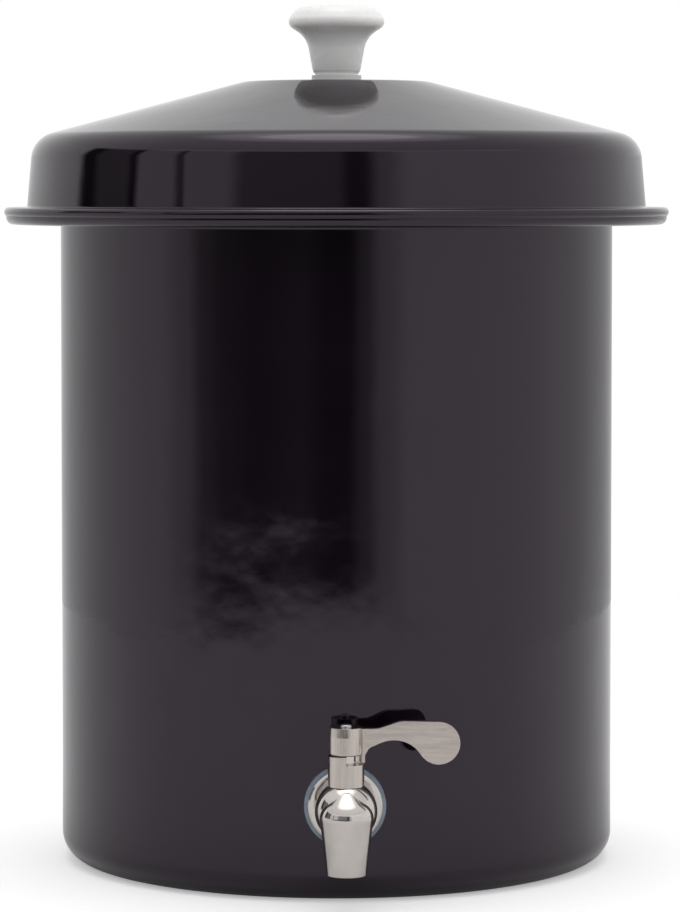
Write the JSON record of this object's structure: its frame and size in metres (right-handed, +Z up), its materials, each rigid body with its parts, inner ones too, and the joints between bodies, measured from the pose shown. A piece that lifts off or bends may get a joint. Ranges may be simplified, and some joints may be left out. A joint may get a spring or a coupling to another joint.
{
  "type": "gravity water filter with tap",
  "caption": "Enamelled pail with a lid, a hanging clay filter pot above a clean-water chamber, and a quarter-turn lever tap low on its front.",
  "frame": {"origin": "centre of the pail's standing ring, on the surface it rests on", "axes": "+Z up the pail's axis; -Y is the front, where the tap is; +X is the picture's right, where the closed lever points"},
  "size_m": [0.361, 0.37, 0.4646],
  "materials": {
    "enamel": "glossy black enamel",
    "tap_steel": "polished",
    "fastener_steel": "satin",
    "clay": "matt unglazed terracotta",
    "knob_white": "satin",
    "washer_white": "matt",
    "ring_plastic": "matt",
    "silicone": "translucent blue-grey",
    "brass": "turned",
    "valve_liner": "waxy"
  },
  "bodies": {
    "pail": {"receptacle": "enamel", "tap_body": "tap_steel", "tap_bonnet": "tap_steel", "valve_sleeve": "valve_liner", "stem_packing": "valve_liner", "tap_front_gasket": "silicone", "tap_inner_gasket": "silicone", "tap_backing_washer": "fastener_steel", "tap_nut": "fastener_steel"},
    "lever": {"tap_lever": "tap_steel", "lever_screw": "fastener_steel", "valve_plug": "tap_steel"},
    "ring": {"support_ring": "ring_plastic"},
    "pot": {"clay_filter": "clay"},
    "cover": {"lid": "enamel", "knob": "knob_white", "knob_insert": "brass", "knob_seat_washer": "washer_white", "lid_seal_washer": "silicone", "screw_washer": "fastener_steel", "knob_screw": "fastener_steel"}
  },
  "joints": [
    {"name": "tap_turn", "type": "hinge", "parent": "pail", "child": "lever", "pos_m": [0, -0.168, 0.0504], "axis": [0, 0, -1], "range_deg": [0, 80]},
    {"name": "ring_lift", "type": "slide", "parent": "pail", "child": "ring", "axis": [0, 0, 1], "range_m": [0, 0.03]},
    {"name": "pot_lift", "type": "slide", "parent": "ring", "child": "pot", "axis": [0, 0, 1], "range_m": [0, 0.26]},
    {"name": "lid_lift", "type": "slide", "parent": "pot", "child": "cover", "axis": [0, 0, 1], "range_m": [0, 0.12]}
  ]
}
